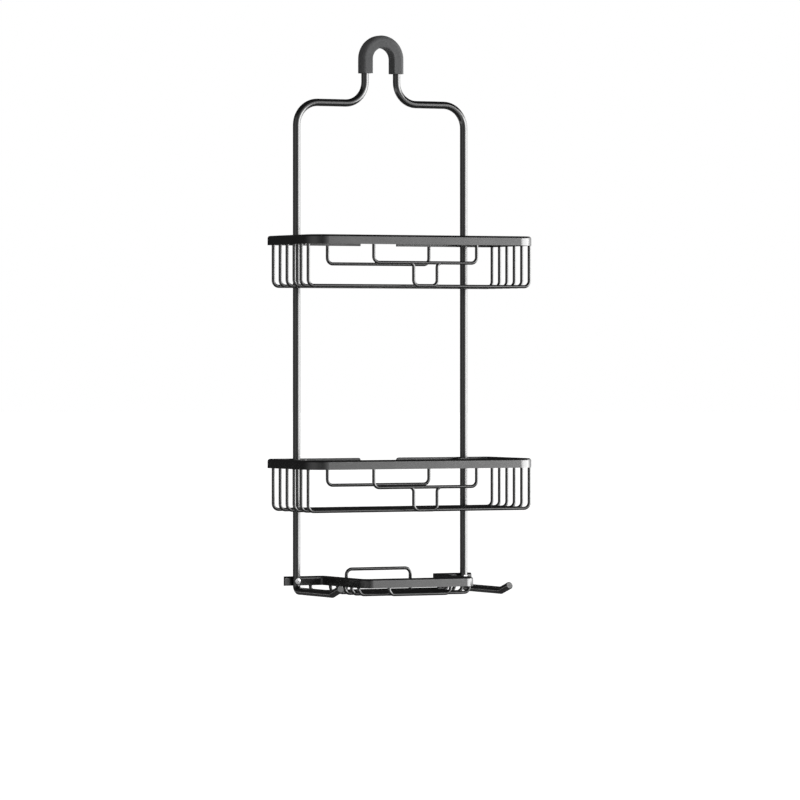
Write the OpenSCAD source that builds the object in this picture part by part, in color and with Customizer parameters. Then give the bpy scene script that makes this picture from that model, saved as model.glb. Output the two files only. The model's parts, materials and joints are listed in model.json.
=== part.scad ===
// Shower caddy: a bent rod frame that hangs over a shower arm, two wire baskets
// clamped to its rails, a soap dish screwed to them and a hook at each rail's foot.
// Millimetres. X runs to the right, Y towards the wall, Z up.
// The origin is on the axis of the shower arm, in the plane of the rails.

/* [Frame] */
// Diameter of the frame rod
rod_d = 8; // [7:0.5:9]
// Distance between the two neck rods, centre to centre
neck_spacing = 38.4; // [37:0.5:44]
// Drop from the arm's axis to the horizontal run of the frame
run_drop = 48.2; // [44:1:70]
// Centreline radius of the bend below each neck rod
neck_bend_r = 23.5; // [16:0.5:26]
// Centreline radius of each shoulder
shoulder_r = 25; // [15:1:30]

/* [Arm grip] */
// Radius of the shower arm that the grip sits on
arm_r = 12.5; // [10.5:0.5:12.5]
// Length of the grip along the arm
grip_l = 14; // [13:1:20]
// Depth of the grip's legs below the arm's axis
grip_drop = 15.4; // [10:1:20]

/* [Hooks] */
// Reach of the hook tips in front of the rails
hook_reach = 106.7; // [60:1:110]
// Drop from the arm's axis to the hooks' horizontal run
hook_drop = 575.5; // [560:1:600]
// Centreline radius of the bend at the rail's foot
foot_r = 6.5; // [5.5:0.5:8]
// Length of the rising tip of each hook
tip_l = 20.5; // [12:0.5:30]
// Slope of the tip, in degrees
tip_slope = 17; // [5:1:40]

/* [Flat bar] */
// Height of the flat bar in the rims
bar_h = 10; // [8:0.5:12]
// Thickness of the flat bar
bar_t = 3; // [2.5:0.5:4]

/* [Wires] */
// Diameter of the basket and dish wires
wire_d = 3.6; // [3:0.2:4]
// Centreline radius of the wires' bends
wire_r = 6.4; // [5:0.2:7]

/* [Baskets] */
// Overall width of a basket
basket_w = 272.2; // [255:0.2:300]
// Distance from a basket's side face to the axis of the rail beside it
rail_inset = 34.4; // [30:0.2:45]
// Distance from the rails' axis to the front face of a basket
basket_reach = 107.5; // [96:0.5:125]
// Overall height of a basket
basket_h = 56.1; // [45:1:70]
// Drop from the arm's axis to the underside of the upper basket
upper_drop = 249.1; // [240:1:260]
// Drop from the arm's axis to the underside of the lower basket
lower_drop = 488.9; // [480:1:495]
// Width of the opening in the back of a rim
back_gap = 44.6; // [36:1:60]
// Depth of the guard wires below a rim, to their centreline
guard_drop = 19.5; // [15:0.5:24]
// Distance between the legs of a guard wire, centre to centre
guard_w = 123.6; // [90:1:140]
// Distance between the arms of the razor loop, centre to centre
loop_w = 28.2; // [24:0.2:34]

/* [Soap dish] */
// Width of the dish across its side bars
dish_w = 137; // [120:1:145]
// Distance from the rails' axis to the front face of the dish
dish_reach = 94.5; // [90:0.5:104]
// Overall height of the dish from its ribs to the top of its rim
dish_h = 19; // [18.6:0.2:22]
// Drop from the arm's axis to the underside of the dish
dish_drop = 579; // [563:1:603]
// Length of each ear past the rail's axis
ear_l = 12; // [8:0.5:16]

/* [Hidden] */
basket_ribs = 6;
dish_ribs = 5;

function basket_nodes(which) = concat(
  [str(which, "_rim")],
  [for (i = [1:basket_ribs]) str(which, "_rib_", i)],
  [for (piece = ["front_guard", "back_guard", "razor_loop",
                 "left_clamp", "right_clamp", "clamp_screws"]) str(which, "_", piece)]
);

$fn = 48;
black = [0.10, 0.10, 0.105];
rubber = [0.22, 0.22, 0.23];
silver = [0.80, 0.80, 0.80];

rail_x = basket_w / 2 - rail_inset;
neck_x = neck_spacing / 2;
seat_gap = 0.1;             // between pieces that are fastened together
slide_gap = 0.25;           // between a rail and what slides on it
cut = 1;                    // how far a cutter runs past a face

bar_front_y = rod_d / 2 + slide_gap;      // front face of the bars behind the rails
bar_y = bar_front_y + bar_t / 2;          // their centreline
bar_back_y = bar_front_y + bar_t;         // their back face
bar_top_w = 0.2;                          // flat left on top of the bar
bar_edge_r = bar_t - bar_top_w;           // rounding of its outer top edge

joint_z = -lower_drop + basket_h - bar_h / 2;   // where frame and legs butt together
stud_d = 4;
stud_l = 28;

grip_wall = 2.8;            // of the rubber outside the rod
grip_seat_edge_r = 1.5;     // rounding of its edges beside the shower arm
grip_edge_r = 5;            // rounding of its outer edges

tip_chamfer = 0.6;
knee_swell = 0.05;          // how far the forged knee stands proud of the rod

basket_x = basket_w / 2 - bar_t / 2;      // centreline of a basket's side bars
basket_front_y = -basket_reach + bar_t / 2;
basket_bar_z = basket_h - bar_h;          // underside of a basket's rim
rib_x = basket_w / 2 - bar_t;             // the ribs stand under the bar's inner face
first_rib_y = -7.5;
front_rib_inset = 14.5;                   // from a front face back to the last rib
guard_z = basket_bar_z - guard_drop;
back_corner_r = 7;
front_corner_r = 19;
end_corner_r = 2.5;                       // rounding of the rim's ends at the back

loop_r = 6;
loop_flare_r = 5;
loop_lift = 0.3;                          // of the loop's foot above the basket's underside

clamp_w = 20;
clamp_h = bar_h - 2;
clamp_front_y = -rod_d / 2 - 3;
clamp_screw_x = rod_d / 2 + slide_gap + 2.9;
clamp_screw_d = 3;
clamp_corner_r = 3;

dish_x = dish_w / 2 - bar_t / 2;
dish_front_y = -dish_reach + bar_t / 2;
dish_bar_z = dish_h - bar_h;              // underside of the dish's rim
dish_rib_x = dish_w / 2 - wire_d / 2;
first_dish_rib_y = -11.5;
dish_corner_r = 10.5;
ear_corner_r = 4;
ear_end_x = rail_x + ear_l;
back_rib_overhang = 15.3;                 // of the back rib past the dish's sides
back_rib_x = dish_x + back_rib_overhang;
dish_guard_w = 74;
arch_w = 77.8;
arch_rise = 6.5;                          // of the arch above the dish's rim
arch_z = dish_h + arch_rise;

screw_d = 4;
screw_head_d = 6.5;
screw_head_h = 2;
spot_y = -rod_d / 2 + 2;                  // flat that the screw head sits on
nut_d = 8;
nut_h = 3.2;
dish_screw_z = -dish_drop + dish_bar_z + bar_h / 2;

// ---- helpers ----

function unit(v) = v / norm(v);
function heading(a, b) = atan2(b[1] - a[1], b[0] - a[0]);
function turn(a, b, c) = let (t = heading(b, c) - heading(a, b))
  t > 180 ? t - 360 : t < -180 ? t + 360 : t;

// Step from one rib to the next, for a number of ribs between first_y and a front face
function rib_step(first_y, reach, count) = (reach + first_y - front_rib_inset) / (count - 1);

// How far a bend of radius r eats into the straights beside vertex i of a path
function trim(path, radii, i) = i == 0 || i == len(path) - 1 ? 0
  : radii[i - 1] * tan(abs(turn(path[i - 1], path[i], path[i + 1])) / 2);

// Sweeps a flat profile along a flat path: straights with a round bend at each inner
// point. The profile's +x lies to the left of travel, and its +y is up.
module sweep(path, radii) {
  for (i = [0:len(path) - 2]) {
    a = path[i];
    b = path[i + 1];
    start = trim(path, radii, i);
    length = norm(b - a) - start - trim(path, radii, i + 1);
    if (length > 0.001)
      translate([a[0], a[1], 0])
        rotate([0, 0, heading(a, b)])
          translate([start, 0, 0])
            rotate([90, 0, 90])
              linear_extrude(length)
                children();
  }
  for (i = [1:len(path) - 2]) {
    bend = turn(path[i - 1], path[i], path[i + 1]);
    r = radii[i - 1];
    back = unit(path[i - 1] - path[i]);
    ahead = unit(path[i + 1] - path[i]);
    centre = path[i] + (back + ahead) * r / sin(abs(bend));
    from = path[i] + (bend > 0 ? back : ahead) * trim(path, radii, i);
    translate([centre[0], centre[1], 0])
      rotate([0, 0, heading(centre, from)])
        rotate_extrude(angle = abs(bend))
          translate([r, 0])
            mirror([bend > 0 ? 1 : 0, 0])
              children();
  }
}

// Round wire along a path of [x, z] points, in the plane at the given y
module wire(path, radii, d, y) {
  translate([0, y, 0])
    rotate([90, 0, 0])
      sweep(path, radii)
        circle(d = d);
}

// U-shaped wire: two legs hanging from z = top at x = +-half, joined at z = bottom
module u_wire(half, top, bottom, y) {
  wire([[-half, top], [-half, bottom], [half, bottom], [half, top]],
       [wire_r, wire_r], wire_d, y);
}

// Section of the flat bar, its rounded edge at the top on the +x side, foot at y = 0
module bar_section() {
  translate([-bar_t / 2, 0])
    square([bar_t, bar_h - bar_edge_r]);
  translate([-bar_t / 2, 0])
    square([bar_t - bar_edge_r, bar_h]);
  translate([bar_t / 2 - bar_edge_r, bar_h - bar_edge_r])
    intersection() {
      circle(r = bar_edge_r);
      square(bar_edge_r);
    }
}

// Rectangle from x0 to x1, height h about y = 0, with its own corner radius on each side
module rounded_section(x0, x1, h, r0, r1) {
  translate([x0 + r0, -h / 2])
    square([x1 - x0 - r0 - r1, h]);
  translate([x0, -h / 2 + r0])
    square([r0 + 0.01, h - 2 * r0]);
  translate([x1 - r1 - 0.01, -h / 2 + r1])
    square([r1 + 0.01, h - 2 * r1]);
  for (side = [-1, 1]) {
    translate([x0 + r0, side * (h / 2 - r0)])
      circle(r = r0);
    translate([x1 - r1, side * (h / 2 - r1)])
      circle(r = r1);
  }
}

// ---- frame ----

// Centreline of the arch, necks, shoulders and rails in the XZ plane, down to z = foot
function frame_path(foot) = [
  [-rail_x, foot], [-rail_x, -run_drop], [-neck_x, -run_drop], [-neck_x, 0]
];

module half_frame(d, foot) {
  wire(frame_path(foot), [shoulder_r, neck_bend_r], d, 0);
}

module arch(d) {
  rotate([90, 0, 0])
    rotate_extrude(angle = 180)
      translate([neck_x, 0])
        circle(d = d);
}

module stud_bores() {
  for (side = [-1, 1])
    translate([side * rail_x, 0, joint_z - stud_l / 2 - seat_gap])
      cylinder(d = stud_d + 2 * seat_gap, h = stud_l + 2 * seat_gap);
}

module upper_frame() {
  color(black)
    difference() {
      union() {
        arch(rod_d);
        half_frame(rod_d, joint_z);
        mirror([1, 0, 0])
          half_frame(rod_d, joint_z);
      }
      stud_bores();
    }
}

// Rubber saddle moulded over the arch, with a round seat for the shower arm
module arm_grip() {
  bore_d = rod_d + 2 * seat_gap;
  outer_r = neck_x + rod_d / 2 + grip_wall;
  color(rubber)
    difference() {
      union() {
        rotate([90, 0, 0])
          rotate_extrude(angle = 180)
            rounded_section(arm_r, outer_r, grip_l, grip_seat_edge_r, grip_edge_r);
        for (side = [0, 1])
          mirror([side, 0, 0])
            translate([0, 0, -grip_drop])
              linear_extrude(grip_drop)
                rounded_section(arm_r, outer_r, grip_l, grip_seat_edge_r, grip_edge_r);
      }
      arch(bore_d);
      for (side = [-1, 1])
        translate([side * neck_x, 0, -grip_drop - cut])
          cylinder(d = bore_d, h = grip_drop + cut);
    }
}

// Straight end of a hook, from its knee at z = 0
module hook_tip() {
  rotate_extrude()
    polygon([[0, 0], [rod_d / 2, 0], [rod_d / 2, tip_l - tip_chamfer],
             [rod_d / 2 - tip_chamfer, tip_l], [0, tip_l]]);
}

// Rail foot: a straight that turns forward into a hook with a rising tip
module leg(side) {
  knee = hook_reach - tip_l * cos(tip_slope);
  color(black)
    difference() {
      translate([side * rail_x, 0, 0]) {
        rotate([0, 0, -90])
          wire([[0, joint_z], [0, -hook_drop], [knee, -hook_drop]], [foot_r], rod_d, 0);
        translate([0, -knee, -hook_drop]) {
          sphere(r = rod_d / 2 + knee_swell);
          rotate([90 - tip_slope, 0, 0])
            hook_tip();
        }
      }
      stud_bores();
      translate([side * rail_x, 0, dish_screw_z])
        rotate([90, 0, 0]) {
          cylinder(d = screw_d + 2 * seat_gap, h = 2 * rod_d, center = true);
          translate([0, 0, -spot_y])
            cylinder(d = screw_head_d + 4 * seat_gap, h = rod_d);
        }
    }
}

module left_leg() {
  leg(-1);
}

module right_leg() {
  leg(1);
}

module leg_studs() {
  color(silver)
    for (side = [-1, 1])
      translate([side * rail_x, 0, joint_z - stud_l / 2])
        cylinder(d = stud_d, h = stud_l);
}

// ---- baskets, each built with its underside at z = 0 ----

module clamp_screw_holes(d) {
  for (side = [-1, 1])
    for (screw = [-1, 1])
      translate([side * rail_x + screw * clamp_screw_x, 0, basket_bar_z + bar_h / 2])
        rotate([-90, 0, 0])
          cylinder(d = d, h = bar_back_y + cut);
}

// Cutter that rounds the top corner at each end of the rim
module rim_end_corner() {
  translate([back_gap / 2, 0, basket_h - end_corner_r])
    difference() {
      translate([-cut, 0, 0])
        cube([end_corner_r + cut, bar_back_y + cut, end_corner_r + cut]);
      translate([end_corner_r, -cut, 0])
        rotate([-90, 0, 0])
          cylinder(r = end_corner_r, h = bar_back_y + 3 * cut);
    }
}

module basket_rim() {
  path = [
    [back_gap / 2, bar_y], [basket_x, bar_y], [basket_x, basket_front_y],
    [-basket_x, basket_front_y], [-basket_x, bar_y], [-back_gap / 2, bar_y]
  ];
  color(black)
    difference() {
      translate([0, 0, basket_bar_z])
        sweep(path, [back_corner_r, front_corner_r, front_corner_r, back_corner_r])
          bar_section();
      clamp_screw_holes(clamp_screw_d + 2 * seat_gap);
      for (side = [0, 1])
        mirror([side, 0, 0])
          rim_end_corner();
    }
}

module basket_rib(i) {
  step = rib_step(first_rib_y, basket_reach, basket_ribs);
  color(black)
    u_wire(rib_x, basket_bar_z, wire_d / 2, first_rib_y - (i - 1) * step);
}

module guard(y) {
  color(black)
    u_wire(guard_w / 2, basket_bar_z, guard_z, y);
}

// Loop for a razor under the front guard, with flared ends coped to fit the guard's wire
module razor_loop() {
  arm = loop_w / 2;
  end = arm + loop_flare_r;
  foot = wire_d / 2 + loop_lift;
  color(black)
    difference() {
      wire([[-end, guard_z], [-arm, guard_z], [-arm, foot],
            [arm, foot], [arm, guard_z], [end, guard_z]],
           [loop_flare_r, loop_r, loop_r, loop_flare_r], wire_d, basket_front_y);
      translate([-end - cut, basket_front_y, guard_z])
        rotate([0, 90, 0])
          cylinder(d = wire_d + 2 * seat_gap, h = 2 * (end + cut));
    }
}

// Saddle that two screws pull against the back bar, with the rail between them
module rail_clamp(side) {
  groove_r = rod_d / 2 + slide_gap;
  color(black)
    difference() {
      translate([side * rail_x, 0, basket_bar_z + (bar_h - clamp_h) / 2])
        difference() {
          linear_extrude(clamp_h)
            union() {
              translate([-clamp_w / 2, clamp_front_y + clamp_corner_r])
                square([clamp_w, bar_front_y - clamp_front_y - clamp_corner_r]);
              translate([-clamp_w / 2 + clamp_corner_r, clamp_front_y])
                square([clamp_w - 2 * clamp_corner_r, 2 * clamp_corner_r]);
              for (corner = [-1, 1])
                translate([corner * (clamp_w / 2 - clamp_corner_r),
                           clamp_front_y + clamp_corner_r])
                  circle(r = clamp_corner_r);
            }
          translate([0, 0, -cut])
            cylinder(r = groove_r, h = clamp_h + 2 * cut);
          translate([-groove_r, 0, -cut])
            cube([2 * groove_r, bar_back_y, clamp_h + 2 * cut]);
        }
      clamp_screw_holes(clamp_screw_d + 2 * seat_gap);
    }
}

// Pan head on the plane z = 0: a low crown, a rounded rim and a cross recess
module screw_head(d, h) {
  crown = h / 5;
  crown_r = (d * d / 4 + crown * crown) / (2 * crown);
  difference() {
    intersection() {
      translate([0, 0, h - crown_r])
        sphere(r = crown_r);
      sphere(r = 0.54 * d);
      cylinder(d = d, h = h + cut);
    }
    for (turned = [0, 90])
      rotate([0, 0, turned])
        translate([-d / 5, -d / 20, h * 0.65])
          cube([d / 2.5, d / 10, h]);
  }
}

module clamp_screws() {
  color(silver)
    for (side = [-1, 1])
      for (screw = [-1, 1])
        translate([side * rail_x + screw * clamp_screw_x, bar_back_y,
                   basket_bar_z + bar_h / 2])
          rotate([-90, 0, 0]) {
            screw_head(2 * clamp_screw_d, 1.8);
            translate([0, 0, -bar_back_y + seat_gap])
              cylinder(d = clamp_screw_d, h = bar_back_y);
          }
}

// ---- soap dish, built with its underside at z = 0 ----

module dish_rim() {
  path = [
    [ear_end_x, bar_y], [dish_x, bar_y], [dish_x, dish_front_y],
    [-dish_x, dish_front_y], [-dish_x, bar_y], [-ear_end_x, bar_y]
  ];
  color(black)
    translate([0, 0, -dish_drop])
      difference() {
        translate([0, 0, dish_bar_z])
          sweep(path, [ear_corner_r, dish_corner_r, dish_corner_r, ear_corner_r])
            bar_section();
        for (side = [-1, 1])
          translate([side * rail_x, 0, dish_bar_z + bar_h / 2])
            rotate([-90, 0, 0])
              cylinder(d = screw_d + 2 * seat_gap, h = bar_back_y + cut);
      }
}

module dish_rib(i) {
  step = rib_step(first_dish_rib_y, dish_reach, dish_ribs);
  color(black)
    translate([0, 0, -dish_drop])
      u_wire(dish_rib_x, dish_bar_z, wire_d / 2, first_dish_rib_y - (i - 1) * step);
}

module dish_back_rib() {
  color(black)
    translate([0, 0, -dish_drop])
      u_wire(back_rib_x, dish_bar_z, wire_d / 2, bar_y);
}

module dish_front_guard() {
  color(black)
    translate([0, 0, -dish_drop])
      u_wire(dish_guard_w / 2, dish_bar_z, wire_d / 2, dish_front_y);
}

// Arch that keeps the soap from the wall, standing on the back rib
module dish_back_arch() {
  half = arch_w / 2;
  color(black)
    translate([0, 0, -dish_drop])
      difference() {
        wire([[-half, wire_d / 2], [-half, arch_z], [half, arch_z], [half, wire_d / 2]],
             [wire_r, wire_r], wire_d, bar_y);
        translate([-half - wire_d, bar_y, wire_d / 2])
          rotate([0, 90, 0])
            cylinder(d = wire_d + 2 * seat_gap, h = 2 * half + 2 * wire_d);
      }
}

module dish_screws() {
  color(silver)
    for (side = [-1, 1])
      translate([side * rail_x, 0, dish_screw_z])
        rotate([90, 0, 0]) {
          translate([0, 0, -spot_y + seat_gap])
            screw_head(screw_head_d, screw_head_h);
          translate([0, 0, -bar_back_y - nut_h - cut])
            cylinder(d = screw_d, h = bar_back_y + nut_h + cut - spot_y + 2 * seat_gap);
        }
}

module dish_nuts() {
  color(silver)
    for (side = [-1, 1])
      translate([side * rail_x, bar_back_y + seat_gap, dish_screw_z])
        rotate([-90, 0, 0])
          difference() {
            cylinder(d = nut_d, h = nut_h, $fn = 6);
            translate([0, 0, -cut])
              cylinder(d = screw_d + 2 * seat_gap, h = nut_h + 2 * cut);
          }
}

// ---- drawing ----

// One piece of the basket called which, drop below the arm's axis
module basket_piece(which, drop) {
  translate([0, 0, -drop]) {
    basket_rim();
    for (i = [1:basket_ribs])
      basket_rib(i);
    guard(basket_front_y);
    guard(bar_y);
    razor_loop();
    rail_clamp(-1);
    rail_clamp(1);
    clamp_screws();
  }
}

upper_frame();
arm_grip();
left_leg();
right_leg();
leg_studs();
basket_piece("upper", upper_drop);
basket_piece("lower", lower_drop);
dish_rim();
dish_back_rib();
for (i = [1:dish_ribs])
  dish_rib(i);
dish_front_guard();
dish_back_arch();
dish_screws();
dish_nuts();
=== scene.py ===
"""Looks of the shower caddy: finishes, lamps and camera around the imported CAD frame.

Metres. X runs to the right, Y towards the wall, Z up. The origin is on the shower arm's axis.
"""

import json
import math

import bpy
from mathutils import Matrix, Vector


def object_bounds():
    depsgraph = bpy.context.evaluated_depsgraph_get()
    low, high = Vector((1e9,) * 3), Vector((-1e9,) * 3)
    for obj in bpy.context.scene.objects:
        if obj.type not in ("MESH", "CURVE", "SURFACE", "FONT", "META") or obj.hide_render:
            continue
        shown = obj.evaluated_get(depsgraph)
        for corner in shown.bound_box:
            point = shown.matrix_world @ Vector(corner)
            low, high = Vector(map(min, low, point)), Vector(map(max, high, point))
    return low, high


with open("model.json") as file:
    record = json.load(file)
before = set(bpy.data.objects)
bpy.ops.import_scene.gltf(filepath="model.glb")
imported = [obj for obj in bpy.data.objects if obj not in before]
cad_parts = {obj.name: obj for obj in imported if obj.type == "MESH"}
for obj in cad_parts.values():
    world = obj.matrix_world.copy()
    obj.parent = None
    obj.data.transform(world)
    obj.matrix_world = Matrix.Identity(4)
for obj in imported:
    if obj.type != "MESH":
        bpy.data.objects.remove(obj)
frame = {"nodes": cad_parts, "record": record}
cad_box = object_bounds()

MM = 0.001

# ---- camera: level, 27 degrees to the left of straight on, with a long lens ----

VIEW_AZIMUTH = math.radians(27)
VIEW_DISTANCE = 5.772
VIEW_OFFSET = 0.0209
EYE_Z = -0.315
FOCAL_MM = 238.95
SENSOR_MM = 36.0
SHIFT_Y = -0.0634
VIEW_CLIP = 60


def make_camera():
    """Places the camera so that its axis passes VIEW_OFFSET beside the origin."""
    ahead = Vector((math.sin(VIEW_AZIMUTH), math.cos(VIEW_AZIMUTH), 0))
    right = Vector((math.cos(VIEW_AZIMUTH), -math.sin(VIEW_AZIMUTH), 0))
    data = bpy.data.cameras.new("view_camera")
    data.lens = FOCAL_MM
    data.sensor_width = SENSOR_MM
    data.shift_y = SHIFT_Y
    data.clip_end = VIEW_CLIP
    camera = bpy.data.objects.new("view_camera", data)
    camera.location = right * VIEW_OFFSET - ahead * VIEW_DISTANCE + Vector((0, 0, EYE_Z))
    camera.rotation_euler = (math.radians(90), 0, -VIEW_AZIMUTH)
    bpy.context.scene.collection.objects.link(camera)
    bpy.context.scene.camera = camera


# ---- node helpers ----


class Nodes:
    """The node tree of a material or world, with short calls to add and join nodes."""

    def __init__(self, owner):
        owner.use_nodes = True
        self.tree = owner.node_tree

    def add(self, kind, **sockets):
        """New node, with constants on its inputs."""
        node = self.tree.nodes.new(kind)
        for name, value in sockets.items():
            node.inputs[name.replace("_", " ")].default_value = value
        return node

    def join(self, source, target):
        self.tree.links.new(source, target)


class Material(Nodes):
    """A new material, with short calls for procedural textures on its Principled shader."""

    def __init__(self, name):
        self.material = bpy.data.materials.new(name)
        super().__init__(self.material)
        self.shader = self.tree.nodes["Principled BSDF"]
        self.output = self.tree.nodes["Material Output"]

    def place(self):
        """Object coordinates: the object's own metres, which ride with it."""
        return self.add("ShaderNodeTexCoord").outputs["Object"]

    def noise(self, size, detail=3.0):
        """Noise whose blotches are about `size` metres across."""
        mapping = self.add("ShaderNodeMapping", Scale=(1 / size, 1 / size, 1 / size))
        self.join(self.place(), mapping.inputs["Vector"])
        noise = self.add("ShaderNodeTexNoise", Scale=1.0, Detail=detail, Roughness=0.5)
        self.join(mapping.outputs["Vector"], noise.inputs["Vector"])
        return noise.outputs["Fac"]

    def spread(self, value, low, high):
        """Maps 0.3 to 0.7, where noise mostly lies, onto low to high."""
        node = self.add("ShaderNodeMapRange", From_Min=0.3, From_Max=0.7, To_Min=low, To_Max=high)
        self.join(value, node.inputs["Value"])
        return node.outputs["Result"]

    def blend(self, value, first, second):
        """Colour that runs from first to second as value goes from 0.35 to 0.65."""
        ramp = self.add("ShaderNodeValToRGB")
        ramp.color_ramp.elements[0].position = 0.35
        ramp.color_ramp.elements[1].position = 0.65
        ramp.color_ramp.elements[0].color = (*first, 1)
        ramp.color_ramp.elements[1].color = (*second, 1)
        self.join(value, ramp.inputs["Fac"])
        return ramp.outputs["Color"]

    def bump(self, height, depth):
        """Lets a height texture, up to `depth` metres deep, stir the shader's normal."""
        bump = self.add("ShaderNodeBump", Strength=1.0, Distance=depth)
        self.join(height, bump.inputs["Height"])
        self.join(bump.outputs["Normal"], self.shader.inputs["Normal"])

    def set(self, **sockets):
        """Sets constants on the Principled shader."""
        for name, value in sockets.items():
            self.shader.inputs[name.replace("_", " ")].default_value = value


# ---- finishes ----


def black_coating():
    """Satin black powder coat: fine orange peel, and a slow drift in gloss."""
    n = Material("satin_black_coat")
    peel = n.noise(0.8 * MM, detail=2.0)
    drift = n.noise(35 * MM, detail=2.0)
    n.set(Metallic=0.0, IOR=2.0)
    n.join(n.blend(drift, (0.004, 0.004, 0.0043), (0.007, 0.007, 0.0074)), n.shader.inputs["Base Color"])
    n.join(n.spread(drift, 0.20, 0.24), n.shader.inputs["Roughness"])
    n.bump(peel, 0.0015 * MM)
    return n.material


def grip_rubber():
    """Matte moulded rubber: fine grain and a little bloom."""
    n = Material("matte_grip_rubber")
    grain = n.noise(0.5 * MM, detail=4.0)
    bloom = n.noise(12 * MM, detail=3.0)
    n.set(Metallic=0.0, IOR=1.45)
    n.join(n.blend(bloom, (0.085, 0.086, 0.088), (0.105, 0.106, 0.108)), n.shader.inputs["Base Color"])
    n.join(n.spread(bloom, 0.62, 0.74), n.shader.inputs["Roughness"])
    n.bump(grain, 0.02 * MM)
    return n.material


def bare_steel():
    """Bright stainless fasteners: fine turning marks and light smears."""
    n = Material("bright_fastener_steel")
    marks = n.noise(0.15 * MM, detail=2.0)
    smear = n.noise(4 * MM, detail=3.0)
    n.set(Metallic=1.0)
    n.join(n.blend(smear, (0.78, 0.78, 0.79), (0.88, 0.88, 0.89)), n.shader.inputs["Base Color"])
    n.join(n.spread(smear, 0.42, 0.52), n.shader.inputs["Roughness"])
    n.bump(marks, 0.003 * MM)
    return n.material


def dress_nodes():
    """Gives each CAD node the finish of its material slot."""
    finishes = {"black_coating": black_coating(), "grip_rubber": grip_rubber(), "bare_steel": bare_steel()}
    slots = {part["node"]: part["material_slot"] for part in frame["record"]["subparts"]}
    for name, piece in frame["nodes"].items():
        for slot in piece.material_slots:
            slot.material = finishes[slots[name]]


# ---- stage: pale floor, white surround, one softbox, and cards that only reflections show ----

FLOOR_DROP = 0.45           # of the floor below the part
FLOOR_HALF = 60             # half the floor's width
FLOOR_LIFT = 0.78           # added to the floor's own light where it is seen
WORLD_LIGHT = 0.3

LOW_FLAG_DROP = 0.4
LOW_FLAG_HALF = 1.6
LOW_FLAG_LEVEL = 0.12
TOP_FLAG_Z = 2.0
TOP_FLAG_HALF = 4.4
TOP_FLAG_LEVEL = 0.04

# Screens round the part: (azimuth in degrees, level)
SCREEN_RADIUS = 3.2
SIDE_SCREEN_HALF = 1.6
SIDE_STOPS = [
    (-225, 0.04), (-200, 0.04), (-175, 0.04), (-150, 0.05), (-135, 0.06), (-120, 0.11), (-104, 0.21),
    (-86, 0.36), (-70, 0.43), (-55, 0.42), (-35, 0.27), (-15, 0.18), (-2, 0.3), (11, 0.55),
    (20, 0.85), (27, 1.25), (32, 2.1), (40, 3.4),
]
RIGHT_SCREEN_HALF = 0.9
RIGHT_STOPS = [(80, 5.0), (90, 3.8), (100, 2.3), (112, 1.4), (130, 1.0)]

BOX_AZIMUTH = 61.3
BOX_DISTANCE = 2.6
BOX_WIDTH = 2.2
BOX_HEIGHT = 1.8
BOX_RADIANCE = 6.5
AIM_Y = -0.05               # depth that the softbox is aimed at, in the middle of the baskets


def seen_rays(n):
    """1 for camera, glossy and transmission rays, else 0."""
    path = n.add("ShaderNodeLightPath")
    level = path.outputs["Is Camera Ray"]
    for kind in ("Is Glossy Ray", "Is Transmission Ray"):
        either = n.add("ShaderNodeMath")
        either.operation = "MAXIMUM"
        n.join(level, either.inputs[0])
        n.join(path.outputs[kind], either.inputs[1])
        level = either.outputs[0]
    return level


def stage_card(name, corners, faces, material):
    """Mesh that belongs to the stage, not to the part."""
    mesh = bpy.data.meshes.new(name)
    mesh.from_pydata(corners, [], faces)
    mesh.materials.append(material)
    card = bpy.data.objects.new(name, mesh)
    bpy.context.scene.collection.objects.link(card)
    return card


def plane(name, z, half, material):
    """Level square about the Z axis, as part of the stage."""
    corners = [Vector((half * i, half * j, z)) for i, j in ((-1, -1), (1, -1), (1, 1), (-1, 1))]
    return stage_card(name, corners, [(0, 1, 2, 3)], material)


def make_floor():
    """Pale matte floor below the hanging part, lifted to white where it is seen lit."""
    n = Material("pale_floor")
    n.set(Roughness=0.9)
    n.join(n.blend(n.noise(0.4), (0.79, 0.79, 0.79), (0.81, 0.81, 0.81)), n.shader.inputs["Base Color"])
    lift = n.add("ShaderNodeMapRange", To_Min=0.0, To_Max=FLOOR_LIFT)
    n.join(seen_rays(n), lift.inputs["Value"])
    glow = n.add("ShaderNodeEmission")
    n.join(lift.outputs["Result"], glow.inputs["Strength"])
    both = n.add("ShaderNodeAddShader")
    n.join(n.shader.outputs[0], both.inputs[0])
    n.join(glow.outputs[0], both.inputs[1])
    n.join(both.outputs[0], n.output.inputs["Surface"])
    plane("floor", cad_box[0][2] - FLOOR_DROP, FLOOR_HALF, n.material)


def make_world():
    """White studio: 1 where it is seen or mirrored, WORLD_LIGHT as light."""
    world = bpy.data.worlds.new("studio")
    bpy.context.scene.world = world
    n = Nodes(world)
    back = n.tree.nodes["Background"]
    back.inputs["Color"].default_value = (1, 1, 1, 1)
    level = n.add("ShaderNodeMapRange", To_Min=WORLD_LIGHT, To_Max=1.0)
    n.join(seen_rays(n), level.inputs["Value"])
    n.join(level.outputs["Result"], back.inputs["Strength"])


def reflection_only(card):
    """Keeps a card out of everything but reflections, like a flag beside a glossy product."""
    card.visible_camera = False
    card.visible_diffuse = False
    card.visible_transmission = False
    card.visible_shadow = False


def flag(name, z, half, level):
    """Level square card of one level, above or below the part."""
    n = Material(name)
    glow = n.add("ShaderNodeEmission", Strength=level)
    n.join(glow.outputs[0], n.output.inputs["Surface"])
    reflection_only(plane(name, z, half, n.material))


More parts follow.
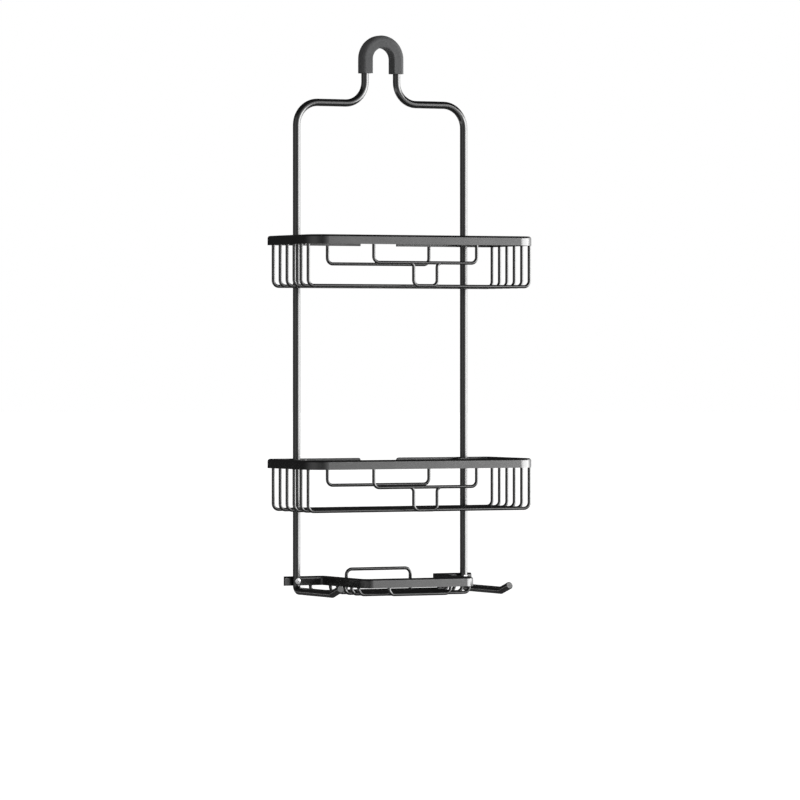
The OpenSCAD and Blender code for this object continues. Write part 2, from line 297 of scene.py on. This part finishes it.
def aim(azimuth):
    """Level direction whose azimuth turns from the front (-Y) to the right (+X), in degrees."""
    a = math.radians(azimuth)
    return Vector((math.sin(a), -math.cos(a), 0))


def screen(name, half, stops):
    """Curved upright screen round the part, from -half to half in Z, with even ramps between its stops."""
    n = Material(name)
    level = n.add("ShaderNodeAttribute")
    level.attribute_name = "level"
    glow = n.add("ShaderNodeEmission")
    n.join(level.outputs["Fac"], glow.inputs["Strength"])
    n.join(glow.outputs[0], n.output.inputs["Surface"])
    places = [aim(azimuth) * SCREEN_RADIUS for azimuth, _ in stops]
    corners = [place + Vector((0, 0, z)) for place in places for z in (-half, half)]
    faces = [(2 * i, 2 * i + 2, 2 * i + 3, 2 * i + 1) for i in range(len(stops) - 1)]
    card = stage_card(name, corners, faces, n.material)
    values = card.data.attributes.new("level", "FLOAT", "POINT").data
    for i, (_, value) in enumerate(stops):
        values[2 * i].value = value
        values[2 * i + 1].value = value
    reflection_only(card)


def softbox(name, azimuth, distance, width, height, radiance):
    """Level area lamp aimed at the part's middle."""
    middle = Vector((0, AIM_Y, (cad_box[0][2] + cad_box[1][2]) / 2))
    away = aim(azimuth)
    data = bpy.data.lights.new(name, "AREA")
    data.shape = "RECTANGLE"
    data.size = width
    data.size_y = height
    data.energy = radiance * math.pi * width * height
    lamp = bpy.data.objects.new(name, data)
    lamp.location = middle + away * distance
    lamp.rotation_euler = away.to_track_quat("Z", "Y").to_euler()
    lamp.visible_camera = False
    bpy.context.scene.collection.objects.link(lamp)


make_camera()
dress_nodes()
make_floor()
make_world()
screen("side_screen", SIDE_SCREEN_HALF, SIDE_STOPS)
screen("right_screen", RIGHT_SCREEN_HALF, RIGHT_STOPS)
flag("top_flag", TOP_FLAG_Z, TOP_FLAG_HALF, TOP_FLAG_LEVEL)
flag("low_flag", cad_box[0][2] - LOW_FLAG_DROP, LOW_FLAG_HALF, LOW_FLAG_LEVEL)
softbox("right_box", BOX_AZIMUTH, BOX_DISTANCE, BOX_WIDTH, BOX_HEIGHT, BOX_RADIANCE)
bpy.context.scene.view_settings.view_transform = "Standard"
